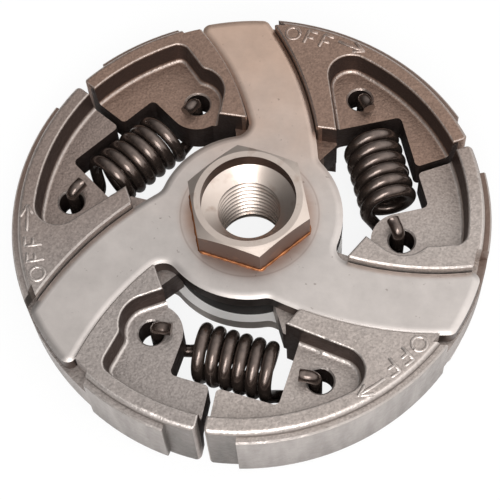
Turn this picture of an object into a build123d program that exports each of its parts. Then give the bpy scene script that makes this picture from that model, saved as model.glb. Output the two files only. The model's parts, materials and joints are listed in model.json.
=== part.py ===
from build123d import *
import math
import os

# Three-shoe centrifugal clutch of a garden machine. Millimetres and degrees.
# The origin is on the crank axis, in the rear face of the hub, and +Z points out of the hexagon.
# Shoe 1 faces +Y. The centre that its arm curves about, and that it swings round, lies on -X.
# The shoes are modelled at rest, drawn in by their springs.

# The set
shoe_count = 3

# Hub, a turned hexagon nut with a round body
hex_across_flats = 19.0
hex_turn = 50.4
hex_height = 5.6
hex_crown_diameter = 18.4
hex_crown_angle = 20.0
hub_body_diameter = 18.0
thread_diameter = 12.0
thread_mouth_chamfer = 0.5
counterbore_diameter = 16.2
counterbore_depth = 2.6
counterbore_cone_depth = 1.2
braze_gap = 0.05

# Two blanked spider plates, and the ring that keeps them apart
plate_thickness = 3.0
ring_thickness = 6.5
ring_diameter = 29.2
plate_hub_diameter = 32.0
swing_radius = 49.35
arm_width = 11.15
arm_tip_radius = 40.6
arm_root_fillet = 2.6
arm_tip_fillet = 1.5
plate_roll_width = 0.9
plate_roll_depth = 0.35
plate_roll_blend = 2.0

# Sintered shoe, seen from the front
drum_radius = 42.4
swing_angle = 1.8
pad_thickness = 1.1
pad_end_setback = 8.4
shoe_lip = 1.3
shoe_gap = 1.3
shoe_gap_angle = 29.2
rim_thickness = 2.9
rim_edge_round = 0.9
rim_corner_round = 1.2
rim_corner_trim = 0.1
web_corner_round = 0.8
pressed_edge_round = 0.4
slot_edge_chamfer = 0.3
pad_edge_chamfer = 0.3
slot_clearance = 0.25
web_clearance = 0.2
mouth_depth = 2.1
mouth_ccw_width = 3.0
mouth_cw_width = 1.6
land_flat = 18.3
land_cw_foot = 12.2
land_cw_lean = 16.6
land_ccw_ledge = 1.5
tongue_cw_angle = 55.3
tongue_ccw_angle = 108.6
tongue_clearance = 0.3
pocket_draft = 6.0
pocket_floor_round = 0.8
pocket_cw_nose_radius = 4.1
pocket_ccw_nose_radius = 2.3
pocket_ccw_inner_radius = 1.5
pocket_ccw_wall_angle = 133.6
pocket_ccw_wall_offset = 3.6

# Spring anchor holes in the shoe's web, by radius and angle about the crank axis
anchor_ccw_radius = 26.28
anchor_ccw_angle = 121.8
anchor_cw_radius = 31.7
anchor_cw_angle = 61.9
anchor_hole_diameter = 4.4
anchor_hole_chamfer = 0.3
anchor_boss_radius = 5.3
anchor_recess_radius = 5.0
notch_half_width = 6.2
notch_corner_radius = 1.0

# Tension spring with a hook at each end
wire_diameter = 2.2
coil_diameter = 10.4
coil_turns = 5.5
coil_pitch = 2.33
coil_rise = 0.9
leg_drop = 1.2
leg_ahead = 1.0
leg_side = 2.0
leg_bend = 3.5
hook_clearance = 0.3
hook_side = 0.4
hook_back = 0.7
hook_bend = 1.4
leg_foot_bend = 1.8
stub_lift = 0.8
stub_reach = 2.7
stub_side = 0.4

# Worked out from the sizes above
turns = [360.0 / shoe_count * k for k in range(shoe_count)]
stack = 2 * plate_thickness + ring_thickness
mid_height = stack / 2
hub_body_radius = hub_body_diameter / 2
hub_top = stack + hex_height
counterbore_floor = hub_top - counterbore_depth
cone_foot = counterbore_floor - counterbore_cone_depth
arm_inner_radius = swing_radius
arm_outer_radius = swing_radius + arm_width
shoe_bottom = -shoe_lip
shoe_top = stack + shoe_lip
relief_radius = drum_radius - pad_thickness
pocket_radius = relief_radius - rim_thickness
web_bottom = plate_thickness + web_clearance
web_top = stack - web_bottom
tongue_radius = ring_diameter / 2 + tongue_clearance
anchor_hole_radius = anchor_hole_diameter / 2
wire_radius = wire_diameter / 2
coil_radius = (coil_diameter - wire_diameter) / 2
run_height = web_bottom - hook_clearance - wire_radius
coil_height = run_height + coil_radius + coil_rise
coil_length = coil_turns * coil_pitch
reach = 3 * drum_radius
near = 0.001
stand = (Align.CENTER, Align.CENTER, Align.MIN)
hang = (Align.CENTER, Align.CENTER, Align.MAX)


def polar(radius, angle):
    """Plan point at a radius and angle about the crank axis."""
    turn = math.radians(angle)
    return Vector(radius * math.cos(turn), radius * math.sin(turn))


anchor_ccw = polar(anchor_ccw_radius, anchor_ccw_angle)
anchor_cw = polar(anchor_cw_radius, anchor_cw_angle)
next_anchor_cw = polar(anchor_cw_radius, anchor_cw_angle + 360.0 / shoe_count)
last_anchor_ccw = polar(anchor_ccw_radius, anchor_ccw_angle - 360.0 / shoe_count)
swing_centre = Vector(-swing_radius, 0)
drawn_in = Vector(swing_radius, 0).rotate(Axis.Z, -swing_angle)
rim_centre = swing_centre + drawn_in


def heading(start, end):
    """Angle of the line from one plan point to another."""
    step = end - start
    return math.degrees(math.atan2(step.Y, step.X))


def left_of(point, angle):
    """Large square on the left of a line through a point."""
    return Pos(point.X, point.Y) * Rot(0, 0, angle) * Pos(0, reach) * Rectangle(2 * reach, 2 * reach)


def disc_at(point, radius):
    """Disc about a plan point."""
    return Pos(point.X, point.Y) * Circle(radius)


def arm_band(inner, outer, tip):
    """Curved band between two arcs about the swing centre, from the crank axis out to the tip."""
    band = disc_at(swing_centre, outer) - disc_at(swing_centre, inner)
    return band & left_of(Vector(0, 0), 0) & Circle(tip)


def slab(outline, bottom, top):
    """Plan outline drawn up between two heights."""
    return Pos(0, 0, bottom) * extrude(outline, amount=top - bottom)


def both_faces(cut):
    """A cut from the front of a shoe, and the same from its rear."""
    return cut + mirror(cut, about=Plane.XY.offset(mid_height))


def hub():
    """Hexagon with a crowned top, counterbore and threaded bore, over a round body."""
    hexagon = RegularPolygon(hex_across_flats / 2, 6, major_radius=False, rotation=hex_turn)
    head = slab(hexagon, stack, hub_top)
    corner_radius = hex_across_flats / math.sqrt(3)
    crown_radius = hex_crown_diameter / 2
    crown_drop = (corner_radius - crown_radius) * math.tan(math.radians(hex_crown_angle))
    crown = Cone(corner_radius, crown_radius, crown_drop, align=hang)
    barrel = slab(Circle(corner_radius), stack, hub_top - crown_drop)
    head &= barrel + Pos(0, 0, hub_top) * crown
    body = head + slab(Circle(hub_body_radius), 0, stack)
    thread_radius = thread_diameter / 2
    mouth_radius = thread_radius + thread_mouth_chamfer
    bore = slab(Circle(thread_radius), 0, hub_top)
    bore += slab(Circle(counterbore_diameter / 2), counterbore_floor, hub_top)
    cone = Cone(thread_radius, counterbore_diameter / 2, counterbore_cone_depth, align=stand)
    bore += Pos(0, 0, cone_foot) * cone
    bore += Cone(mouth_radius, thread_radius, thread_mouth_chamfer, align=stand)
    return body - bore


def spider_outline():
    """Hub disc with three curved arms, rounded at the roots and tips."""
    arm = arm_band(arm_inner_radius, arm_outer_radius, arm_tip_radius)
    outline = Circle(plate_hub_diameter / 2)
    for turn in turns:
        outline += Rot(0, 0, turn) * arm
    half_way = (plate_hub_diameter / 2 + arm_tip_radius) / 2
    roots = outline.vertices().filter_by(lambda corner: corner.center().length < half_way)
    outline = fillet(roots, arm_root_fillet)
    tips = outline.vertices().filter_by(
        lambda corner: abs(corner.center().length - arm_tip_radius) < near
    )
    outline = fillet(tips, arm_tip_fillet)
    return outline - Circle(hub_body_radius + braze_gap)


def spider_plate():
    """Blanked plate, standing on its inner face. Its outer face rolls over at the edge."""
    plate = slab(spider_outline(), 0, plate_thickness)
    face = plate.faces().sort_by(Axis.Z)[-1]
    plate = chamfer(face.outer_wire().edges(), plate_roll_width, plate_roll_depth, reference=face)
    face = plate.faces().sort_by(Axis.Z)[-1]
    return fillet(face.outer_wire().edges(), plate_roll_blend)


def spacer_ring():
    """Plain ring between the plates."""
    ring = Circle(ring_diameter / 2) - Circle(hub_body_radius + braze_gap)
    return slab(ring, plate_thickness, plate_thickness + ring_thickness)


def notch(anchor, far_anchor, outer_side):
    """Room for a spring, open towards the hub. Its outer side is on the right (-1) or left (1)."""
    box = RectangleRounded(reach, reach, notch_corner_radius)
    box = Pos(anchor_boss_radius + reach / 2, outer_side * (notch_half_width - reach / 2)) * box
    return Pos(anchor.X, anchor.Y) * Rot(0, 0, heading(anchor, far_anchor)) * box


def shoe_sector():
    """Wedge of the clutch that one shoe fills, less half the gap at each end."""
    last_gap_angle = shoe_gap_angle + 360.0 / shoe_count
    cw_face = left_of(polar(shoe_gap / 2, shoe_gap_angle + 90), shoe_gap_angle)
    ccw_face = left_of(polar(shoe_gap / 2, last_gap_angle - 90), last_gap_angle + 180)
    return cw_face & ccw_face


def at_end(corner):
    """Whether a corner of the shoe's outline is on one of its two end faces."""
    point = corner.center()
    off_gaps = [abs(point.cross(polar(1, shoe_gap_angle + turn)).Z) for turn in turns]
    return min(abs(off_gap - shoe_gap / 2) for off_gap in off_gaps) < near


def right_of_cw_land():
    """Side of the clockwise land's wall on which its pocket lies."""
    return left_of(Vector(land_cw_foot, land_flat), land_cw_lean - 90)


def shoe_plan():
    """Outline of the shoe: rim, two wings, the lands beside the arm and the tongue."""
    blank = shoe_sector() & disc_at(rim_centre, relief_radius + rim_corner_trim)
    cw_wing = (blank & right_of_cw_land()) - notch(anchor_cw, last_anchor_ccw, 1)
    rest = blank - right_of_cw_land()
    outer_part = left_of(anchor_ccw, 0)
    behind_spring = left_of(anchor_ccw, heading(next_anchor_cw, anchor_ccw))
    ccw_wing = (rest & (outer_part + behind_spring)) - notch(anchor_ccw, next_anchor_cw, -1)
    ccw_wing += disc_at(anchor_ccw, anchor_boss_radius)
    ccw_land_edge = Vector(anchor_ccw.X + anchor_recess_radius - land_ccw_ledge, land_flat)
    lands = rest & left_of(ccw_land_edge, 0) & left_of(ccw_land_edge, -90)
    origin = Vector(0, 0)
    tongue = rest & left_of(origin, tongue_cw_angle) & left_of(origin, tongue_ccw_angle + 180)
    tongue &= left_of(ccw_land_edge, 180)
    plan = cw_wing + ccw_wing + lands + tongue - Circle(tongue_radius)
    ends = plan.vertices().filter_by(at_end)
    plan = fillet(ends.filter_by(lambda corner: corner.center().length > pocket_radius), rim_corner_round)
    ends = plan.vertices().filter_by(at_end)
    return fillet(ends.filter_by(lambda corner: corner.center().length < pocket_radius), web_corner_round)


def cw_pocket():
    """Teardrop pocket of the clockwise wing, open at the shoe's end."""
    outline = right_of_cw_land() & disc_at(rim_centre, pocket_radius)
    nose = outline.vertices().sort_by(Axis.Y)[-1]
    return fillet(nose, pocket_cw_nose_radius)


def ccw_pocket():
    """Pocket of the other wing, with a round recess about the anchor hole."""
    wall_point = anchor_ccw + polar(pocket_ccw_wall_offset, pocket_ccw_wall_angle - 90)
    outline = left_of(wall_point, pocket_ccw_wall_angle) & disc_at(rim_centre, pocket_radius)
    outline &= left_of(anchor_ccw, heading(next_anchor_cw, anchor_ccw))
    nose = outline.vertices().sort_by(Axis.Y)[-1]
    outline = fillet(nose, pocket_ccw_nose_radius)
    outline += disc_at(anchor_ccw, anchor_recess_radius)
    on_recess = outline.vertices().filter_by(
        lambda corner: abs((corner.center() - anchor_ccw).length - anchor_recess_radius) < near
    )
    outline = fillet(on_recess.sort_by(Axis.Y)[-1], pocket_ccw_inner_radius)
    inner_side = left_of(anchor_ccw, 180) & disc_at(rim_centre, pocket_radius)
    inner_side -= left_of(Vector(anchor_ccw.X + anchor_recess_radius, 0), -90)
    return outline + inner_side


def pocket_cut(outline):
    """Pocket from the shoe's front down to its web, with the draft of the press tool."""
    depth = shoe_top - web_top
    cut = Pos(0, 0, shoe_top) * extrude(outline, amount=depth, dir=(0, 0, -1), taper=pocket_draft)
    return fillet(cut.faces().sort_by(Axis.Z)[0].edges(), pocket_floor_round)


def anchor_cut(anchor):
    """Anchor hole through the web, chamfered on both faces."""
    hole = slab(Circle(anchor_hole_radius), shoe_bottom, shoe_top)
    wide_radius = anchor_hole_radius + anchor_hole_chamfer
    mouth = Cone(anchor_hole_radius, wide_radius, anchor_hole_chamfer, align=hang)
    return Pos(anchor.X, anchor.Y) * (hole + both_faces(Pos(0, 0, web_top) * mouth))


def pad():
    """Raised friction face of the rim, short of the shoe's ends."""
    origin = Vector(0, 0)
    last_gap_angle = shoe_gap_angle + 360.0 / shoe_count
    outline = disc_at(rim_centre, drum_radius) - disc_at(rim_centre, pocket_radius)
    outline &= left_of(origin, shoe_gap_angle + pad_end_setback)
    outline &= left_of(origin, last_gap_angle - pad_end_setback + 180)
    block = slab(outline, 0, stack)
    arcs = block.edges().filter_by(GeomType.CIRCLE).sort_by(SortBy.RADIUS)
    return chamfer(arcs[-2:], pad_edge_chamfer)


def plan_distance(edge, centre):
    """Distance in plan from a centre to the middle of an edge."""
    middle = edge @ 0.5
    return (Vector(middle.X, middle.Y) - centre).length


def face_edges(body):
    """Edges of a shoe's front and rear faces, inside the rim's own round."""
    inside = relief_radius - rim_edge_round - pressed_edge_round
    half_height = shoe_top - mid_height
    level = body.edges().filter_by(
        lambda edge: abs(abs((edge @ 0.5).Z - mid_height) - half_height) < near
    )
    return level.filter_by(lambda edge: plan_distance(edge, rim_centre) < inside)


def beside_arm(edge):
    """Whether an edge is one of the two long sides of the arm's slot."""
    off_middle = abs(plan_distance(edge, swing_centre) - (arm_inner_radius + arm_outer_radius) / 2)
    return abs(off_middle - arm_width / 2 - slot_clearance) < near


def shoe():
    """One sintered shoe: rim and wings about a web that runs between the plates."""
    rim = Cylinder(relief_radius, shoe_top - shoe_bottom)
    rim = fillet(rim.edges().filter_by(GeomType.CIRCLE), rim_edge_round)
    body = slab(shoe_plan(), shoe_bottom, shoe_top) & Pos(rim_centre.X, rim_centre.Y, mid_height) * rim
    body += pad()
    above = shoe_top + shoe_lip
    slot = arm_band(arm_inner_radius - slot_clearance, arm_outer_radius + slot_clearance, reach)
    mouth = arm_band(
        arm_inner_radius - slot_clearance - mouth_ccw_width,
        arm_outer_radius + slot_clearance + mouth_cw_width,
        reach,
    )
    mouth -= disc_at(rim_centre, drum_radius - mouth_depth)
    tongue_room = left_of(Vector(0, land_flat), 180) & Circle(anchor_ccw_radius)
    body -= both_faces(slab(slot + mouth + tongue_room, web_top, above))
    body -= both_faces(pocket_cut(cw_pocket()))
    body -= both_faces(pocket_cut(ccw_pocket()))
    body -= anchor_cut(anchor_ccw)
    body -= anchor_cut(anchor_cw)
    body = fillet(face_edges(body).filter_by(lambda edge: not beside_arm(edge)), pressed_edge_round)
    return chamfer(face_edges(body).filter_by(beside_arm), slot_edge_chamfer)


def wire(path):
    """Round wire along a path."""
    section = Plane(origin=path @ 0, z_dir=path % 0) * Circle(wire_radius)
    return sweep(section, path=path, is_frenet=True)


def hook(span):
    """End of a spring: off the coil, under a bridge of web, up its anchor hole and back over."""
    lead = coil_pitch / (2 * math.pi * coil_radius)
    coil_end = -coil_length / 2
    stub_height = web_top + stub_lift + wire_radius
    riser_x = hook_back - span / 2
    path = FilletPolyline(
        (coil_end, coil_radius, coil_height),
        (coil_end - lead * leg_drop, coil_radius, coil_height - leg_drop),
        (coil_end - leg_ahead, leg_side, run_height),
        (riser_x, hook_side, run_height),
        (riser_x, hook_side, stub_height),
        (riser_x + stub_reach, hook_side + stub_side, stub_height),
        radius=[leg_bend, leg_foot_bend, hook_bend, hook_bend],
    )
    return wire(path)


def spring():
    """Right-handed tension spring between shoe 1 and the next shoe."""
    coil_start = Plane(origin=(-coil_length / 2, 0, coil_height), x_dir=(0, 1, 0), z_dir=(1, 0, 0))
    coil = wire(coil_start.location * Helix(coil_pitch, coil_length, coil_radius))
    end = hook((next_anchor_cw - anchor_ccw).length)
    body = coil + end + Rot(0, 0, 180) * end
    middle = (anchor_ccw + next_anchor_cw) / 2
    return Pos(middle.X, middle.Y) * Rot(0, 0, heading(anchor_ccw, next_anchor_cw)) * body


if __name__ == "__main__":
    os.makedirs("parts", exist_ok=True)
    front_plate = Pos(0, 0, stack - plate_thickness) * spider_plate()
    rear_plate = mirror(front_plate, about=Plane.XY.offset(mid_height))
    export_step(hub(), "parts/hub.step")
    export_step(rear_plate, "parts/rear_plate.step")
    export_step(spacer_ring(), "parts/spacer_ring.step")
    export_step(front_plate, "parts/front_plate.step")
    one_shoe = shoe()
    one_spring = spring()
    for k, turn in enumerate(turns, start=1):
        export_step(Rot(0, 0, turn) * one_shoe, f"parts/shoe_{k}.step")
        export_step(Rot(0, 0, turn) * one_spring, f"parts/spring_{k}.step")
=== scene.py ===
# %% [markdown]
# # A centrifugal clutch from a garden machine
# Three sintered shoes ride on the curved arms of a steel spider, held in by three tension springs.
# The solids come from the imported frame at their real size, so nothing here moves or resizes them.
# This lesson gives every surface the finish that its making leaves on it, and paints light and shade into
# some colours. It also adds springs in two halves, and the crank thread, the braze and the raised signs,
# which are too fine for the solids.

# %% Load the frame
import bmesh
import bpy
import json
import math
import random
from mathutils import Matrix, Vector


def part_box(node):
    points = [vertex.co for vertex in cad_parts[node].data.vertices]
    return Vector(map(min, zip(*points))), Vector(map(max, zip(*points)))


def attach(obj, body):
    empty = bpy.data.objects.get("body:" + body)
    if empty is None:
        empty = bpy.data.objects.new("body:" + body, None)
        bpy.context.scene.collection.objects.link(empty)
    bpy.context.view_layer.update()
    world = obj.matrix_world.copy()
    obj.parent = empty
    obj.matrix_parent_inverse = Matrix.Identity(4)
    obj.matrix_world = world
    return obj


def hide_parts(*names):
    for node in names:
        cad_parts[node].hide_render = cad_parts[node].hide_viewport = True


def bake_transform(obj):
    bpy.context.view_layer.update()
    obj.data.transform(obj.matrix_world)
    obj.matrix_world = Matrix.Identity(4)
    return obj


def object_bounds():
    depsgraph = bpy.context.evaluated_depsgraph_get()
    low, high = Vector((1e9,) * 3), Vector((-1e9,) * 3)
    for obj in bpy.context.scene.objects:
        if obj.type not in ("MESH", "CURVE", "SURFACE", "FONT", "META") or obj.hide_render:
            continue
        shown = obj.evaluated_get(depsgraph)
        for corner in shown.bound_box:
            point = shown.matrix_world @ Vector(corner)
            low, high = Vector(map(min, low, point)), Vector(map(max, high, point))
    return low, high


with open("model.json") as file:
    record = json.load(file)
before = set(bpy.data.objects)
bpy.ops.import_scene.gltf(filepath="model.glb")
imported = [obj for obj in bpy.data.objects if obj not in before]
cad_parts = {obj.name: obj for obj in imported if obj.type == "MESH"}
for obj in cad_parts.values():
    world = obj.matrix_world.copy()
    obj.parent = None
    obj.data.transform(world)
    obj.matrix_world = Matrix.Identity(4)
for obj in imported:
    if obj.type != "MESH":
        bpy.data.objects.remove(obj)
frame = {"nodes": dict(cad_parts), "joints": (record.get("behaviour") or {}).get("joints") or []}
cad_low, cad_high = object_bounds()
MM = 0.001
nodes = frame["nodes"]
shoes = sorted(name for name in nodes if name.startswith("shoe"))
shoe_turns = [math.tau * k / len(shoes) for k in range(len(shoes))]
print("solids:", sorted(nodes))
print("box in mm:", [round(side / MM, 1) for side in cad_high - cad_low])

# %% [markdown]
# ## Camera
# The photograph looks steeply down on the front of the clutch with a long lens. A camera could be
# placed by eye, but the hexagon, the arms and the rim are all of known shape, so they give its
# direction, distance and slight roll together.

# %% Place the camera
aim = Vector((1.37, -6.79, 12.5)) * MM
distance = 244.3 * MM
azimuth, elevation, roll = (math.radians(angle) for angle in (15.05, 62.9, 4.98))


def compass(turn, height):
    """Unit vector towards a compass turn from the front and a height above the floor, in radians."""
    return Vector((math.sin(turn) * math.cos(height), -math.cos(turn) * math.cos(height), math.sin(height)))


lens = bpy.data.cameras.new("camera")
lens.sensor_width = 36.0
lens.lens = 104.1
camera = bpy.data.objects.new("camera", lens)
bpy.context.scene.collection.objects.link(camera)
back = compass(azimuth, elevation)
tilt = (-back).to_track_quat("-Z", "Y").to_matrix() @ Matrix.Rotation(-roll, 3, "Z")
camera.matrix_world = Matrix.Translation(aim + back * distance) @ tilt.to_4x4()
bpy.context.scene.camera = camera
bpy.context.scene.view_settings.view_transform = "Standard"
print("camera at", [round(x / MM, 1) for x in camera.location], "mm")

# %% [markdown]
# ## Small helpers for materials
# Colours are written as they look on a screen and turned to linear light once. Every shader below is a
# tree of nodes, so one function adds a node, sets its properties and fills or links its inputs. Some
# nodes have sockets that their settings leave out of use, and several of one name, so the function
# takes the first one that is in use.

# %% Helpers for colours and nodes
def linear(hex_colour):
    """The linear RGBA of an sRGB colour such as #b8aea6."""
    channels = [int(hex_colour[i:i + 2], 16) / 255 for i in (1, 3, 5)]
    return [c / 12.92 if c <= 0.04045 else ((c + 0.055) / 1.055) ** 2.4 for c in channels] + [1.0]


def in_use(sockets, name=None):
    """The first socket that a node's settings leave in use, of one name if a name is given."""
    return next(socket for socket in sockets if socket.enabled and name in (None, socket.name))


def add_node(tree, kind, settings=None, links=None):
    """Adds a shader node. settings are its properties; links are values, sockets or nodes for its inputs."""
    node = tree.nodes.new("ShaderNode" + kind)
    for name, value in (settings or {}).items():
        setattr(node, name, value)
    for name, value in (links or {}).items():
        target = node.inputs[name] if isinstance(name, int) else in_use(node.inputs, name)
        source = in_use(value.outputs) if isinstance(value, bpy.types.Node) else value
        if isinstance(source, bpy.types.NodeSocket):
            tree.links.new(source, target)
        else:
            target.default_value = source
    return node


def ramp(source=(0.0, 1.0), target=(0.0, 1.0)):
    """The limits of a map range node that turns a source range into a target range."""
    return {"From Min": source[0], "From Max": source[1], "To Min": target[0], "To Max": target[1]}


smooth = {"interpolation_type": "SMOOTHSTEP"}
colours = {"data_type": "RGBA"}
times = {"operation": "MULTIPLY"}
times_plus = {"operation": "MULTIPLY_ADD"}
larger = {"operation": "MAXIMUM"}
scaled = {"operation": "SCALE"}
print("mid grey is", round(linear("#808080")[0], 3), "in linear light")

# %% [markdown]
# ## Light, floor and background
# The clutch lies on white paper under a soft ceiling that is brighter to the right. A soft box on the
# viewer's side leaves a pale line along every rounded edge that faces the viewer, and a larger one
# lower down lights the upright walls. The background could be made white with more light, but that
# would bleach the part. It is white by its own colour instead: rays that show it see it at strength 1,
# so the light on the part can stay plain. Under the part the paper keeps its shadow.

# %% World
ceiling_level, wall_level, right_lean = 1.3, 0.33, 1.0
wall_to_ceiling = (0.1, 0.85)
world = bpy.data.worlds.new("studio")
world.use_nodes = True
bpy.context.scene.world = world
air = world.node_tree
air.nodes.clear()


def background_rays(tree, path):
    """1 for rays that show the background itself, from the camera or through something clear."""
    return add_node(tree, "Math", larger,
                    {0: path.outputs["Is Camera Ray"], 1: path.outputs["Is Transmission Ray"]})


sky = add_node(air, "TexCoord")
way = add_node(air, "SeparateXYZ", {}, {0: sky.outputs["Generated"]})
room = add_node(air, "MapRange", smooth,
                {"Value": way.outputs["Z"], **ramp(wall_to_ceiling, (wall_level, ceiling_level))})
lean = add_node(air, "Math", times_plus, {0: way.outputs["X"], 1: right_lean, 2: 1.0})
level = add_node(air, "Math", times, {0: room, 1: lean})
shown = background_rays(air, add_node(air, "LightPath"))
strength = add_node(air, "Math", larger, {0: level, 1: shown})
backdrop = add_node(air, "Background", {}, {"Strength": strength})
add_node(air, "OutputWorld", {}, {"Surface": backdrop})
print("ceiling at", ceiling_level, "and walls at", wall_level, "of the white background")

# %% Floor
floor_half = 1.5
floor_corners = [(x * floor_half, y * floor_half, cad_low.z)
                 for x, y in ((-1, -1), (1, -1), (1, 1), (-1, 1))]
floor_mesh = bpy.data.meshes.new("floor")
floor_mesh.from_pydata(floor_corners, [], [(0, 1, 2, 3)])
floor = bpy.data.objects.new("floor", floor_mesh)
bpy.context.scene.collection.objects.link(floor)
print("floor at", round(cad_low.z / MM, 2), "mm")

# %% Paper on the floor
# White paper is matt and even. Close to the part metal mirrors it with its shadow, further out as white.
shadow_share = 0.12
footprint_to_clear = (0.042, 0.085)
paper = bpy.data.materials.new("white_paper")
paper.use_nodes = True
sheet = paper.node_tree
sheet.nodes.clear()
path = add_node(sheet, "LightPath")
spot = add_node(sheet, "TexCoord")
away = add_node(sheet, "VectorMath", {"operation": "LENGTH"}, {0: spot.outputs["Object"]})
clear = add_node(sheet, "MapRange", smooth, {"Value": away, **ramp(footprint_to_clear)})
in_metal = add_node(sheet, "Math", times, {0: clear, 1: path.outputs["Is Glossy Ray"]})
shown = add_node(sheet, "Math", larger, {0: background_rays(sheet, path), 1: in_metal})
lit = add_node(sheet, "Math", times, {0: shown, 1: 1 - shadow_share})
shade = add_node(sheet, "BsdfDiffuse", {}, {"Color": linear("#f4f4f4")})
glow = add_node(sheet, "Emission", {}, {"Strength": 1.0})
face = add_node(sheet, "MixShader", {}, {0: lit, 1: shade, 2: glow})
add_node(sheet, "OutputMaterial", {}, {"Surface": face})
floor_mesh.materials.append(paper)
print("paper shows", shadow_share, "of the shadow on it")

# %% Lamps
def soft_lamp(name, turn, height, reach, size, power):
    """A square soft box that looks at the clutch from a compass turn and a height, in degrees."""
    lamp = bpy.data.lights.new(name, "AREA")
    lamp.size = size
    lamp.energy = power
    holder = bpy.data.objects.new(name, lamp)
    bpy.context.scene.collection.objects.link(holder)
    away = compass(math.radians(turn), math.radians(height))
    holder.location = away * reach
    holder.rotation_euler = (-away).to_track_quat("-Z", "Y").to_euler()


soft_lamp("key", turn=15, height=55, reach=0.5, size=0.2, power=0.9)
soft_lamp("front", turn=0, height=35, reach=0.6, size=0.3, power=1.1)
print("lights:", [light.name for light in bpy.data.lights])

# %% [markdown]
# ## Sintered steel
# The shoes are steel powder pressed in a die, sintered and steamed. The pressed faces keep a fine open
# grain and a warm grey colour. The steam leaves a black oxide. Tumbling then rubs it off everywhere
# except on the steep walls of the pockets, and burnishes the edges, whose pale colour is a painted
# highlight. Each shoe has its own painted shade, the shoes further back darker and browner, and the
# faces and walls of each turn darker and browner towards the far side. A picture of the grain could be
# wrapped round the shoe, but noise in millimetres has no seam and keeps its size on every face.

# %% Shared start of every metal
def metal(name, finish, *details):
    """A material with one metal surface. finish gives its inputs from places on the part in millimetres."""
    material = bpy.data.materials.new(name)
    material.use_nodes = True
    tree = material.node_tree
    tree.nodes.clear()
    spot = add_node(tree, "TexCoord")
    place = add_node(tree, "VectorMath", scaled, {0: spot.outputs["Object"], "Scale": 1 / MM})
    surface = add_node(tree, "BsdfPrincipled", {}, finish(tree, place, *details))
    add_node(tree, "OutputMaterial", {}, {"Surface": surface})
    return material


def dress(name, finish):
    """Gives a solid its finish."""
    nodes[name].data.materials.clear()
    nodes[name].data.materials.append(finish)


print("to dress:", len(nodes), "solids")

# %% Where on the part, and how steep
upright_to_level = (0.15, 0.5)


def plan_distance(tree, place, centre):
    """Distance in plan from an upright line through a centre, in millimetres."""
    plan = add_node(tree, "VectorMath", times, {0: place, 1: (1, 1, 0)})
    return add_node(tree, "VectorMath", {"operation": "DISTANCE"}, {0: plan, 1: (centre.x, centre.y, 0)})


def steepness(tree, limits):
    """1 on upright surfaces and 0 on level ones. The limits are heights of the surface's normal."""
    spot = add_node(tree, "TexCoord")
    normal = add_node(tree, "SeparateXYZ", {}, {0: spot.outputs["Normal"]})
    height = add_node(tree, "Math", {"operation": "ABSOLUTE"}, {0: normal.outputs["Z"]})
    return add_node(tree, "MapRange", smooth, {"Value": height, **ramp(limits, (1.0, 0.0))})


print("walls are steeper than", round(math.degrees(math.acos(upright_to_level[1]))), "degrees")

# %% Painted shade: shoes darker and browner towards the far side
wall_shade_between, face_shade_between, face_shade_way = (-24.0, 2.0), (-14.0, 16.0), (-0.35, 1, 0)


def far_side_shade(tree, place):
    """Painted shade, each from 0 to 1: how much darker and browner the outer walls and the pressed faces turn
    towards the far side.
    """
    along = add_node(tree, "SeparateXYZ", {}, {0: place})
    far_wall_shade = add_node(tree, "MapRange", smooth, {"Value": along.outputs["Y"], **ramp(wall_shade_between)})
    far_left = add_node(tree, "VectorMath", {"operation": "DOT_PRODUCT"}, {0: place, 1: face_shade_way})
    far_face_shade = add_node(tree, "MapRange", smooth, {"Value": far_left, **ramp(face_shade_between)})
    return far_wall_shade, far_face_shade


print("walls turn brown between", wall_shade_between, "mm along Y")

# %% Pressed faces
# Powder grains are near 0.1 mm across. Here they are four times as wide, so that they show.
grain_size, lump_size, blotch_size = 0.4, 1.1, 8.0
noise_middle = (0.3, 0.7)
speck_levels, face_shade_levels, face_browning_share = (0.76, 1.18), (1.07, 0.96), 0.5


def pressed_face(tree, place, grain, far_face_shade, dull, bright):
    """Warm grey in soft blotches, with light and dark grains, and painted shade that makes it darker and
    browner towards the far side.
    """
    blotch = add_node(tree, "TexNoise", {}, {"Vector": place, "Scale": 1 / blotch_size, "Detail": 3.0})
    grey = add_node(tree, "Mix", colours, {"Factor": blotch, "A": linear(dull), "B": linear(bright)})
    # Painted shade: the faces turn browner towards the far side.
    face_browning = add_node(tree, "Math", times, {0: far_face_shade, 1: face_browning_share})
    grey = add_node(tree, "Mix", colours, {"Factor": face_browning, "A": grey, "B": linear("#8a7265")})
    speck = add_node(tree, "MapRange", {}, {"Value": grain, **ramp(noise_middle, speck_levels)})
    # Painted shade: the faces turn darker towards the far side.
    level = add_node(tree, "MapRange", {}, {"Value": far_face_shade, **ramp(target=face_shade_levels)})
    level = add_node(tree, "Math", times, {0: speck, 1: level})
    return add_node(tree, "VectorMath", scaled, {0: grey, "Scale": level})


print("grain", grain_size, "mm, lumps", lump_size, "mm, blotches", blotch_size, "mm")

# %% Pocket walls that keep their oxide
swing_centres = [Vector(joint["pos_m"][:2]) / MM for joint in frame["joints"]]
arm_width, lip_width, pocket_edge = 11.15, 1.2, 39.4
middle_of_arm = swing_centres[0].length + arm_width / 2


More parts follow.
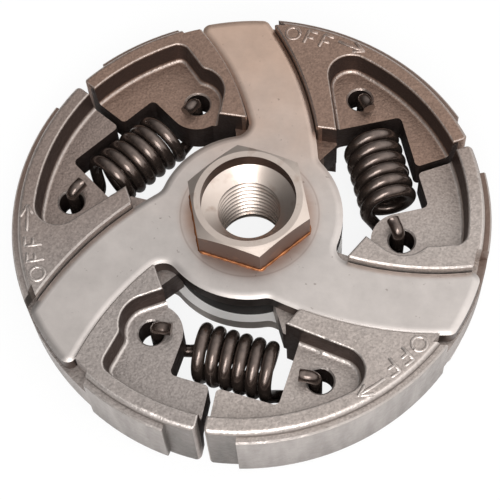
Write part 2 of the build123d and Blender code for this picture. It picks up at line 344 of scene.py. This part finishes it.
def oxide_share(tree, place, steep, radius, swing_centre):
    """1 on the steep walls inside the rim that stand clear of the arm's slot."""
    off_arm = add_node(tree, "Math", {"operation": "SUBTRACT"},
                       {0: plan_distance(tree, place, swing_centre), 1: middle_of_arm})
    off_arm = add_node(tree, "Math", {"operation": "ABSOLUTE"}, {0: off_arm})
    clear = add_node(tree, "Math", {"operation": "GREATER_THAN"}, {0: off_arm, 1: arm_width / 2 + lip_width})
    inside = add_node(tree, "Math", {"operation": "LESS_THAN"}, {0: radius, 1: pocket_edge})
    pocket = add_node(tree, "Math", times, {0: inside, 1: clear})
    return add_node(tree, "Math", times, {0: steep, 1: pocket})


print("arms swing", round(middle_of_arm, 2), "mm from the centres of their arcs")

# %% Outer walls and pads
rim_edge, pad_edge, wall_height = 41.1, 42.1, 11.0
streak_width, streak_length = 2.2, 14.0
wall_browning_share, bottom_shade_levels = 0.75, (0.84, 1.1)


def outer_wall(tree, place, radius, far_wall_shade):
    """Die walls: upright streaks, pale on the pads and darker beside them, with painted shade that makes them
    browner towards the far side and darker towards the bottom.
    """
    pad = add_node(tree, "Math", {"operation": "GREATER_THAN"}, {0: radius, 1: pad_edge})
    drawn = add_node(tree, "VectorMath", times,
                     {0: place, 1: (1 / streak_width, 1 / streak_width, 1 / streak_length)})
    streak = add_node(tree, "TexNoise", {}, {"Vector": drawn, "Scale": 1.0, "Detail": 3.0})
    streak = add_node(tree, "MapRange", {}, {"Value": streak, **ramp(noise_middle)})
    pad_colour = add_node(tree, "Mix", colours, {"Factor": streak, "A": linear("#8f8884"), "B": linear("#a8a19d")})
    low = add_node(tree, "Mix", colours, {"Factor": streak, "A": linear("#6e6965"), "B": linear("#837c78")})
    wall = add_node(tree, "Mix", colours, {"Factor": pad, "A": low, "B": pad_colour})
    # Painted shade: the walls turn browner towards the far side.
    wall_browning = add_node(tree, "Math", times, {0: far_wall_shade, 1: wall_browning_share})
    wall = add_node(tree, "Mix", colours, {"Factor": wall_browning, "A": wall, "B": linear("#6f584c")})
    # Painted shade: the walls are darker towards the bottom and lighter at the top.
    along = add_node(tree, "SeparateXYZ", {}, {0: place})
    height = add_node(tree, "MapRange", {},
                      {"Value": along.outputs["Z"], **ramp((0.0, wall_height), bottom_shade_levels)})
    return add_node(tree, "VectorMath", scaled, {0: wall, "Scale": height})


print("pads start at radius", pad_edge, "mm")

# %% Rounded edges: burnished smooth, with a painted highlight
edge_to_flat, wall_to_edge, edge_highlight_levels = (0.92, 0.99), (0.5, 0.75), (0.6, 0.35)


def edges_and_highlight(tree, far_face_shade):
    """1 on the rounded edges between flats and walls, and how strong their painted highlight is there,
    stronger on the near side.
    """
    edge = add_node(tree, "Math", {"operation": "SUBTRACT"},
                    {0: steepness(tree, edge_to_flat), 1: steepness(tree, wall_to_edge)})
    highlight_share = add_node(tree, "MapRange", {}, {"Value": far_face_shade, **ramp(target=edge_highlight_levels)})
    return edge, add_node(tree, "Math", times, {0: edge, 1: highlight_share})


# The painted highlight on the edges is stronger on the near side than on the far side.
print("edges are", edge_highlight_levels[0], "bare on the cool side and", edge_highlight_levels[1], "on the warm side")

# %% Make the sintered steel
rim_centre = Vector((-0.024, -1.55))
shoe_gloss, edge_gloss = (0.36, 0.6), -0.12
lump_depth, grain_depth = 0.16, 0.1


def sintered_steel(tree, place, turn, swing_centre, dull, bright):
    """Pressed, steamed and tumbled powder: grainy grey, black pocket walls, smooth edges with a painted
    highlight, and painted shade towards the far side.
    """
    lump = add_node(tree, "TexNoise", {}, {"Vector": place, "Scale": 1 / lump_size, "Detail": 2.0})
    grain = add_node(tree, "TexNoise", {},
                     {"Vector": place, "Scale": 1 / grain_size, "Detail": 2.0, "Roughness": 0.6})
    # Painted shade towards the far side: one mask for the outer walls, one for the faces.
    far_wall_shade, far_face_shade = far_side_shade(tree, place)
    steep = steepness(tree, upright_to_level)
    radius = plan_distance(tree, place, Matrix.Rotation(turn, 2) @ rim_centre)
    face = pressed_face(tree, place, grain, far_face_shade, dull, bright)
    oxide = oxide_share(tree, place, steep, radius, swing_centre)
    colour = add_node(tree, "Mix", colours, {"Factor": oxide, "A": face, "B": linear("#4a3d38")})

    outside = add_node(tree, "Math", {"operation": "GREATER_THAN"}, {0: radius, 1: rim_edge})
    # Outside the rim the wall colour goes on the steep faces, and on any face where the far-side shade is
    # painted.
    steep_or_shaded = add_node(tree, "Math", larger, {0: steep, 1: far_wall_shade})
    outside = add_node(tree, "Math", times, {0: outside, 1: steep_or_shaded})
    wall = outer_wall(tree, place, radius, far_wall_shade)
    colour = add_node(tree, "Mix", colours, {"Factor": outside, "A": colour, "B": wall})

    edge, bare = edges_and_highlight(tree, far_face_shade)
    # Painted highlight: the rounded edges turn pale. Their lower roughness below is the burnish.
    colour = add_node(tree, "Mix", colours, {"Factor": bare, "A": colour, "B": linear("#d6cdc7")})
    gloss = add_node(tree, "MapRange", {}, {"Value": lump, **ramp(target=shoe_gloss)})
    gloss = add_node(tree, "Math", times_plus, {0: edge, 1: edge_gloss, 2: gloss})

    rough = add_node(tree, "Bump", {}, {"Strength": 0.6, "Distance": lump_depth * MM, "Height": lump})
    rough = add_node(tree, "Bump", {},
                     {"Strength": 0.7, "Distance": grain_depth * MM, "Height": grain, "Normal": rough})
    return {"Metallic": 0.8, "Base Color": colour, "Roughness": gloss, "Normal": rough}


# Painted shade: each shoe's colours are lit or shaded copies, the shoes further back darker and browner, the
# nearest lighter.
shoe_shade_tints = (("#8b7467", "#a68a7a"), ("#928984", "#a79e99"), ("#a1968f", "#b5aba5"))
sinters = [metal(f"sintered_steel_{k + 1}", sintered_steel, shoe_turns[k], swing_centres[k], *tints)
           for k, tints in enumerate(shoe_shade_tints)]
for name, sinter in zip(shoes, sinters):
    dress(name, sinter)
print(len(sinters[0].node_tree.nodes), "nodes a shoe")

# %% [markdown]
# ## Blanked plate
# The two spider plates are blanked from rolled strip. The punch rolls the outer edge over, and the cut
# edge below stays dark. The faces are smooth and satin with a faint rolling grain, soft mottling, a few
# dark flecks and a copper stain round the hexagon, and painted shade makes them browner towards the far arm.
# The stain could be painted by hand, but it crept out evenly from the joint, so the distance from the
# crank axis gives it.

# %% Rolled strip
cloud_size, cloud_drift, far_arm_shade_between = 11.0, 24.0, (4.0, 52.0)
mottle_size, mottle_levels = 5.0, (0.9, 1.07)


def strip_colour(tree, place, cloud):
    """Warm grey with soft mottling, and painted shade that turns it browner towards the far arm."""
    spot = add_node(tree, "SeparateXYZ", {}, {0: place})
    drift = add_node(tree, "Math", times_plus, {0: cloud, 1: cloud_drift, 2: spot.outputs["Y"]})
    # Painted shade: the plate turns browner towards the far arm.
    far_arm_shade = add_node(tree, "MapRange", smooth, {"Value": drift, **ramp(far_arm_shade_between)})
    steel = add_node(tree, "Mix", colours, {"Factor": far_arm_shade, "A": linear("#cbc3be"), "B": linear("#ccb09e")})
    mottle = add_node(tree, "TexNoise", {},
                      {"Vector": place, "Scale": 1 / mottle_size, "Detail": 6.0, "Roughness": 0.65})
    mottle = add_node(tree, "MapRange", {}, {"Value": mottle, **ramp(noise_middle, mottle_levels)})
    return add_node(tree, "VectorMath", scaled, {0: steel, "Scale": mottle})


print("mottling", mottle_size, "mm")

# %% Stain round the hexagon
crank_axis = Vector((0, 0))
stain_between, flux_ring, flux_line, flux_share = (9.6, 13.0), 11.9, (0.05, 0.2), 0.3


def copper_stain(tree, place, cloud, steel):
    """Copper that crept over the plate, and the thin brown line where the flux stopped."""
    radius = plan_distance(tree, place, crank_axis)
    stain = add_node(tree, "MapRange", smooth, {"Value": radius, **ramp(stain_between, (1.0, 0.0))})
    stain = add_node(tree, "Math", times, {0: stain, 1: cloud})
    colour = add_node(tree, "Mix", colours, {"Factor": stain, "A": steel, "B": linear("#a4714f")})
    off_ring = add_node(tree, "Math", {"operation": "SUBTRACT"}, {0: radius, 1: flux_ring})
    off_ring = add_node(tree, "Math", {"operation": "ABSOLUTE"}, {0: off_ring})
    line = add_node(tree, "MapRange", {}, {"Value": off_ring, **ramp(flux_line, (flux_share, 0.0))})
    return add_node(tree, "Mix", colours, {"Factor": line, "A": colour, "B": linear("#85685a")})


print("stain out to radius", stain_between[1], "mm")

# %% Make the plate steel
# Rolling marks are near 0.05 mm wide. Here they are coarser, so that they show.
rolling_length, rolling_width, rolling_depth = 9.0, 0.6, 0.02
fleck_size, fleck_between, fleck_share = 1.0, (0.71, 0.76), 0.45
plate_gloss = (0.33, 0.47)


def blanked_steel(tree, place):
    """Rolled strip after blanking and brazing: satin warm grey, dark on the cut edges."""
    along = add_node(tree, "VectorMath", times,
                     {0: place, 1: (1 / rolling_length, 1 / rolling_width, 1 / rolling_width)})
    grain = add_node(tree, "TexNoise", {}, {"Vector": along, "Scale": 1.0, "Detail": 4.0})
    cloud = add_node(tree, "TexNoise", {}, {"Vector": place, "Scale": 1 / cloud_size, "Detail": 4.0})
    colour = copper_stain(tree, place, cloud, strip_colour(tree, place, cloud))
    fleck = add_node(tree, "TexNoise", {}, {"Vector": place, "Scale": 1 / fleck_size, "Detail": 2.0})
    fleck = add_node(tree, "MapRange", {}, {"Value": fleck, **ramp(fleck_between, (0.0, fleck_share))})
    colour = add_node(tree, "Mix", colours, {"Factor": fleck, "A": colour, "B": linear("#6b5a50")})
    cut = steepness(tree, upright_to_level)
    colour = add_node(tree, "Mix", colours, {"Factor": cut, "A": colour, "B": linear("#5d524d")})
    gloss = add_node(tree, "MapRange", {}, {"Value": grain, **ramp(target=plate_gloss)})
    bump = add_node(tree, "Bump", {}, {"Strength": 0.25, "Distance": rolling_depth * MM, "Height": grain})
    return {"Metallic": 1.0, "Base Color": colour, "Roughness": gloss, "Normal": bump}


dress("front_plate", metal("blanked_steel", blanked_steel))
print("rolling grain", rolling_width, "mm wide")

# %% Make the rear plate's and the ring's steel
outer_to_inner, pale_face_metallic = (0.2, 0.6), 0.15
ring_mottle_size = 2.0


def rear_steel_painted_light(tree, _place):
    """Rear plate: plain satin steel, with its inner face painted near white and matt as painted light in the
    gap between the plates.
    """
    spot = add_node(tree, "TexCoord")
    normal = add_node(tree, "SeparateXYZ", {}, {0: spot.outputs["Normal"]})
    inner = add_node(tree, "MapRange", {}, {"Value": normal.outputs["Z"], **ramp(outer_to_inner)})
    metallic = add_node(tree, "MapRange", {}, {"Value": inner, **ramp(target=(1.0, pale_face_metallic))})
    # Painted light: the inner face, in the gap between the plates, is near white.
    colour = add_node(tree, "Mix", colours, {"Factor": inner, "A": linear("#b5aca6"), "B": linear("#f2efec")})
    return {"Metallic": metallic, "Base Color": colour, "Roughness": 0.38}


def ring_steel_painted_shade(tree, place):
    """Ring between the plates: turned steel, dull and painted near black as the shade between the plates."""
    ring_mottle = add_node(tree, "TexNoise", {}, {"Vector": place, "Scale": 1 / ring_mottle_size, "Detail": 3.0})
    # Painted shade: the ring between the plates is near black.
    colour = add_node(tree, "Mix", colours, {"Factor": ring_mottle, "A": linear("#0c0908"), "B": linear("#1e1714")})
    return {"Metallic": 0.3, "Base Color": colour, "Roughness": 0.6, "Specular IOR Level": 0.25}


dress("rear_plate", metal("rear_steel_painted_light", rear_steel_painted_light))
dress("spacer_ring", metal("ring_steel_painted_shade", ring_steel_painted_shade))
print("plates and ring dressed")

# %% [markdown]
# ## Turned hub
# The hub is turned and milled from bar, so fine rings run round its top. Oil has left brown marks on the
# hexagon's sides and in the cone. Painted shade makes all the hexagon's upright sides darker brown and
# the grooves of the crank thread dark. A drawn texture of rings would need unwrapping, but noise that
# depends only on the distance from the axis is round by itself.

# %% Painted shade in the thread's grooves
groove_between, bore_edge, groove_top = (5.45, 5.8), 6.06, 13.9


def groove_shade(tree, place, radius):
    """1 at the bottom of the crank thread's grooves, which are darkened as painted shade."""
    spot = add_node(tree, "SeparateXYZ", {}, {0: place})
    below = add_node(tree, "Math", {"operation": "LESS_THAN"}, {0: spot.outputs["Z"], 1: groove_top})
    bored = add_node(tree, "Math", {"operation": "LESS_THAN"}, {0: radius, 1: bore_edge})
    deep = add_node(tree, "MapRange", {}, {"Value": radius, **ramp(groove_between)})
    groove = add_node(tree, "Math", times, {0: below, 1: deep})
    return add_node(tree, "Math", times, {0: groove, 1: bored})


# The painted shade in the grooves stops at this height.
print("oil below", groove_top, "mm")

# %% Make the hub steel
# Turning marks are near 0.15 mm apart. Here they are wider, so that they show.
turning_pitch, turning_depth = 0.35, 0.02
mark_size, mark_between, mark_share = 3.0, (0.56, 0.72), 0.5
side_to_top, counterbore_edge = (0.2, 0.6), 7.9


def turned_steel(tree, place):
    """Bar turned on a lathe: light satin steel with fine rings and brown marks, its upright sides darker
    brown as painted shade.
    """
    radius = plan_distance(tree, place, crank_axis)
    rings = add_node(tree, "TexNoise", {"noise_dimensions": "1D"},
                     {"W": radius, "Scale": 1 / turning_pitch, "Detail": 2.0})
    cloud = add_node(tree, "TexNoise", {}, {"Vector": place, "Scale": 1 / mark_size, "Detail": 4.0})
    clean = add_node(tree, "Mix", colours, {"Factor": cloud, "A": linear("#bfb0a6"), "B": linear("#d3c6bc")})
    outer = add_node(tree, "Math", {"operation": "GREATER_THAN"}, {0: radius, 1: counterbore_edge})
    side_shade = add_node(tree, "Math", times, {0: steepness(tree, side_to_top), 1: outer})
    # Painted shade: the hexagon's upright sides are darker brown.
    colour = add_node(tree, "Mix", colours, {"Factor": side_shade, "A": clean, "B": linear("#69554c")})
    mark = add_node(tree, "MapRange", {}, {"Value": cloud, **ramp(mark_between, (0.0, mark_share))})
    colour = add_node(tree, "Mix", colours, {"Factor": mark, "A": colour, "B": linear("#8f6f5b")})
    groove = groove_shade(tree, place, radius)
    # Painted shade in the thread's grooves.
    colour = add_node(tree, "Mix", colours, {"Factor": groove, "A": colour, "B": linear("#2b2420")})
    bump = add_node(tree, "Bump", {}, {"Strength": 0.3, "Distance": turning_depth * MM, "Height": rings})
    return {"Metallic": 1.0, "Base Color": colour, "Roughness": 0.3, "Normal": bump}


hub_finish = metal("turned_steel", turned_steel)
dress("hub", hub_finish)
print("turning rings", turning_pitch, "mm apart")

# %% [markdown]
# ## Tension springs
# Each spring is one oil-tempered wire: five and a half close turns, a leg under the shoe's web at each
# end, and a hook that comes up through the anchor hole. A spring is made as two halves that meet in the
# middle, one from each hook.

# %% Make the wire steel
scale_size, tear_size, wire_gloss = 0.9, 0.3, (0.18, 0.32)


def oil_tempered_wire(tree, place):
    """Drawn wire, hardened in oil: smooth dark brown oxide under a film of oil, with sharp glints."""
    scale = add_node(tree, "TexNoise", {}, {"Vector": place, "Scale": 1 / scale_size, "Detail": 3.0})
    colour = add_node(tree, "Mix", colours, {"Factor": scale, "A": linear("#382d29"), "B": linear("#7b6b62")})
    gloss = add_node(tree, "MapRange", {}, {"Value": scale, **ramp(target=wire_gloss)})
    return {"Metallic": 0.85, "Base Color": colour, "Roughness": gloss,
            "Coat Weight": 0.6, "Coat Roughness": 0.1}


def sheared_wire(tree, place):
    """End of the wire where it was cut: bare bright steel, torn a little."""
    tear = add_node(tree, "TexNoise", {}, {"Vector": place, "Scale": 1 / tear_size, "Detail": 2.0})
    colour = add_node(tree, "Mix", colours, {"Factor": tear, "A": linear("#7d726b"), "B": linear("#b9b1ab")})
    return {"Metallic": 1.0, "Base Color": colour, "Roughness": 0.4}


wire_finish = metal("oil_tempered_wire", oil_tempered_wire)
cut_finish = metal("sheared_wire", sheared_wire)
print("wire:", wire_finish.name, "and", cut_finish.name)

# %% Bars and pieces
def tube(mesh, route, radii, sides, first_end=0):
    """Adds a round bar with closed ends along a list of points. first_end is the first end's finish."""
    last = None
    side = (route[1] - route[0]).orthogonal().normalized()
    for i, (point, radius) in enumerate(zip(route, radii)):
        ahead = (route[min(i + 1, len(route) - 1)] - route[max(i - 1, 0)]).normalized()
        side = (side - ahead * side.dot(ahead)).normalized()
        other = ahead.cross(side)
        ring = [mesh.verts.new(point + radius * (side * math.cos(a) + other * math.sin(a)))
                for a in (math.tau * k / sides for k in range(sides))]
        if last is None:
            mesh.faces.new(reversed(ring)).material_index = first_end
        else:
            for k in range(sides):
                mesh.faces.new((last[k], last[k - 1], ring[k - 1], ring[k])).smooth = True
        last = ring
    mesh.faces.new(last)


def new_piece(name, mesh_data, *finishes):
    """Turns a built mesh into an object with its finishes."""
    mesh = bpy.data.meshes.new(name)
    mesh_data.to_mesh(mesh)
    mesh_data.free()
    for finish in finishes:
        mesh.materials.append(finish)
    piece = bpy.data.objects.new(name, mesh)
    bpy.context.scene.collection.objects.link(piece)
    return piece


print("helpers ready for wire, bead and signs")

# %% Sizes of a spring
def polar(radius, degrees):
    """A point in plan, from its distance and its turn about the crank axis."""
    return Matrix.Rotation(math.radians(degrees), 2) @ Vector((radius, 0))


anchor_ccw, anchor_cw = polar(26.28, 121.8), polar(31.7, 181.9)
span = (anchor_cw - anchor_ccw).length
wire_radius, coil_radius, coil_height, coil_pitch, coil_turns = 1.1, 4.1, 6.8, 2.33, 5.5
coil_length = coil_turns * coil_pitch
print("spring span", round(span, 2), "mm, coil", round(coil_length, 2), "mm")

# %% Route of half a spring
run_height, stub_height = 1.8, 11.2
hook_in_hole, stub_reach = Vector((0.7, 0.4, 0)), Vector((2.7, 0.4, 0))
leg_gap, leg_offset, leg_rise = 1.0, 2.0, Vector((-0.11, 0, -1.2))
bends = (1.5, 1.5, 1.9, 0.9)
points_a_turn = 44


def rounded(corners, bends, steps=10):
    """A route through corners, each rounded by a curve that starts its bend length before it."""
    route = [corners[0]]
    for before, corner, after, bend in zip(corners, corners[1:], corners[2:], bends):
        start = corner + (before - corner).normalized() * bend
        end = corner + (after - corner).normalized() * bend
        for i in range(steps + 1):
            t = i / steps
            route.append(start.lerp(corner, t).lerp(corner.lerp(end, t), t))
    return route + [corners[-1]]


def spring_half_route():
    """From the stub at a hook to the middle of the coil, in the spring's own frame."""
    hook = hook_in_hole - Vector((span / 2, 0, 0))
    foot = Vector((-coil_length / 2, coil_radius, coil_height))
    corners = [hook + stub_reach + Vector((0, 0, stub_height)),
               hook + Vector((0, 0, stub_height)),
               hook + Vector((0, 0, run_height)),
               Vector((foot.x - leg_gap, leg_offset, run_height)),
               foot + leg_rise,
               foot]
    route = rounded(corners, bends)
    count = round(points_a_turn * coil_turns / 2)
    for i in range(1, count + 1):
        angle = math.pi * coil_turns * i / count
        route.append(Vector((foot.x + coil_pitch * angle / math.tau,
                             coil_radius * math.cos(angle),
                             coil_height + coil_radius * math.sin(angle))))
    return route


print("half a spring has", len(spring_half_route()), "points")

# %% Build the spring halves
wire_sides = 18


def spring_half(name, frame_turn, flip):
    """One half of a spring, turned to its place between two shoes, with its hook and its middle."""
    along = anchor_cw - anchor_ccw
    middle = (anchor_cw + anchor_ccw) / 2
    place = (Matrix.Rotation(frame_turn, 4, "Z")
             @ Matrix.Translation((middle.x, middle.y, 0))
             @ Matrix.Rotation(math.atan2(along.y, along.x), 4, "Z")
             @ Matrix.Rotation(math.pi if flip else 0, 4, "Z"))
    route = [place @ point * MM for point in spring_half_route()]
    wire = bmesh.new()
    tube(wire, route, [wire_radius * MM] * len(route), wire_sides, first_end=1)
    piece = new_piece(name, wire, wire_finish, cut_finish)
    return piece, place @ Vector((-span / 2, 0, coil_height)) * MM, place @ Vector((0, 0, coil_height)) * MM


for k, turn in enumerate(shoe_turns):
    for end in range(2):
        piece, hook_end, middle = spring_half(f"spring_{k + 1}_half_{end + 1}", turn, end == 1)
        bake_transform(piece)
        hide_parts(f"spring_{k + 1}")
print("halves of", len(piece.data.vertices), "vertices")

# %% [markdown]
# ## Crank thread
# The bore carries a fine left-handed thread for the crankshaft. Its turns catch the light as bright
# rings. A bump could draw them, but real ridges also show in the bore's outline and in the mesh, so one
# ridge is swept round the bore. It fades out in the mouth below, and above it runs into a short cone
# that leads down from the counterbore to the crests.

# %% Rows of the thread
thread_root, thread_crest, thread_pitch = 6.0, 5.33, 1.25
thread_low, thread_high = 0.5, 13.6
crest_half, foot_half, foot_sink = 0.08, 0.48, 0.02
thread_steps = 72


def thread_rows():
    """Profiles of the ridge, one for each step up its left-handed helix, in millimetres."""
    foot = thread_root + foot_sink
    rows = []
    for i in range(round(thread_steps * (thread_high - thread_low) / thread_pitch) + 1):
        angle = -math.tau * i / thread_steps
        height = thread_low + thread_pitch * i / thread_steps
        crest = thread_root - (thread_root - thread_crest) * min(1.0, i / thread_steps)
        profile = ((foot, -foot_half), (crest, -crest_half), (crest, crest_half), (foot, foot_half))
        rows.append([Vector((r * math.cos(angle), r * math.sin(angle), height + rise * thread_pitch))
                     for r, rise in profile])
    return rows


print("thread of", round((thread_high - thread_low) / thread_pitch, 1), "turns")

# %% Build the thread
lead_in = ((6.03, 14.32), (5.38, 13.94), (6.03, 13.5))


def join_rings(mesh, last, ring):
    """Faces between two rows of vertices, with sharp edges."""
    for k in range(len(ring) - 1):
        mesh.faces.new((last[k], last[k + 1], ring[k + 1], ring[k])).smooth = False


def thread_ridge():
    """A left-handed ridge inside the bore with a narrow flat crest, and the cone that leads in to it."""
    ridge = bmesh.new()
    rows = [[ridge.verts.new(point * MM) for point in row] for row in thread_rows()]
    spokes = [[ridge.verts.new(compass(math.tau * i / thread_steps, 0) * r * MM + Vector((0, 0, height * MM)))
               for r, height in lead_in] for i in range(thread_steps)]
    for last, ring in list(zip(rows, rows[1:])) + list(zip(spokes, spokes[1:] + spokes[:1])):
        join_rings(ridge, last, ring)
    bmesh.ops.recalc_face_normals(ridge, faces=ridge.faces)
    return ridge


thread = new_piece("crank_thread", thread_ridge(), hub_finish)
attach(thread, "spider")
print("ridge of", len(thread.data.polygons), "faces")

# %% [markdown]
# ## Copper braze
# Copper was melted into the joint between the hexagon and the plate, and a thin uneven bead of it stands
# round the hexagon's foot. A painted line would do from afar, but a real bead catches the light, so it is
# a small round bar along the hexagon's outline, whose thickness wanders.

# %% Make the copper
flux_size = 1.5


def copper_braze(tree, place):
    """Copper that ran out of the joint: dull orange with dark flux marks."""
    flux = add_node(tree, "TexNoise", {}, {"Vector": place, "Scale": 1 / flux_size, "Detail": 3.0})
    colour = add_node(tree, "Mix", colours, {"Factor": flux, "A": linear("#5c3d2c"), "B": linear("#d08a5c")})
    return {"Metallic": 1.0, "Base Color": colour, "Roughness": 0.45}


copper_finish = metal("copper_braze", copper_braze)
print("flux marks", flux_size, "mm wide")

# %% Build the bead
hexagon_flats, hexagon_sides, hexagon_foot = 19.0, 6, 12.5
hexagon_turn = math.radians(140.4)
bead_thickness, bead_wander, bead_step, bead_sides, bead_seed = 0.31, (0.7, 1.25), 0.5, 10, 12


def braze_bead():
    """A bead along the hexagon's sides, of wandering thickness."""
    chance = random.Random(bead_seed)
    corner_radius = hexagon_flats / 2 / math.cos(math.pi / hexagon_sides)
    turns = [hexagon_turn + math.tau * k / hexagon_sides for k in range(hexagon_sides + 1)]
    corners = [compass(turn, 0) * corner_radius for turn in turns]
    route, radii = [], []
    for start, end in zip(corners, corners[1:]):
        count = round((end - start).length / bead_step)
        for i in range(count):
            middle = start.lerp(end, (i + 0.5) / count)
            route.append((middle + Vector((0, 0, hexagon_foot))) * MM)
            radii.append(bead_thickness * chance.uniform(*bead_wander) * MM)
    bead = bmesh.new()
    tube(bead, route + route[:1], radii + radii[:1], bead_sides)
    return bead


bead = new_piece("braze_bead", braze_bead(), copper_finish)
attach(bead, "spider")
print("bead", bead_thickness, "mm thick")

# %% [markdown]
# ## Raised signs
# Beside each slot the die pressed the word OFF and an arrow, which shows the way the clutch unscrews.
# A text object has flat letters with sharp sides. Pressed strokes are low round ridges, so each one is
# a bar whose axis lies half of its radius below the face.

# %% Strokes of the signs
face_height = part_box("shoe_1")[1].z / MM
stroke_radius, stroke_sink, stroke_sides = 0.4, 0.2, 10
letter_o, letter_o_radius, letter_o_steps = Vector((1.15, 37.3)), 1.25, 28
strokes = [
    [(3.4, 35.6), (3.95, 38.3)],
    [(3.95, 38.3), (5.5, 37.95)],
    [(3.68, 36.95), (4.9, 36.7)],
    [(6.25, 35.2), (6.95, 37.9)],
    [(6.95, 37.9), (8.5, 37.45)],
    [(6.6, 36.55), (7.8, 36.25)],
    [(9.6, 36.77), (14.3, 35.4)],
    [(12.7, 37.0), (14.4, 35.37)],
    [(12.45, 35.0), (14.4, 35.37)],
]
print("face at", round(face_height, 2), "mm,", len(strokes), "straight strokes")

# %% Build the signs
def sign_ridges(turn):
    """The letters and the arrow of one shoe. Straight strokes have tapered ends."""
    place = Matrix.Rotation(turn, 4, "Z")
    turns = [math.tau * i / letter_o_steps for i in range(letter_o_steps + 1)]
    bars = [([letter_o + letter_o_radius * Vector((math.cos(a), math.sin(a))) for a in turns],
             [stroke_radius * MM] * len(turns))]
    for start, end in ((Vector(a), Vector(b)) for a, b in strokes):
        taper = (end - start).normalized() * stroke_radius / 2
        bars.append(([start - taper, start, end, end + taper],
                     [stroke_radius * MM * share for share in (0.5, 1, 1, 0.5)]))
    ridges = bmesh.new()
    for points, radii in bars:
        route = [place @ Vector((p.x, p.y, face_height - stroke_sink)) * MM for p in points]
        tube(ridges, route, radii, stroke_sides)
    return ridges


for name, turn, sinter in zip(shoes, shoe_turns, sinters):
    sign = new_piece(f"{name}_sign", sign_ridges(turn), sinter)
    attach(sign, name)
print("signs stand", round(stroke_radius - stroke_sink, 2), "mm above the face")
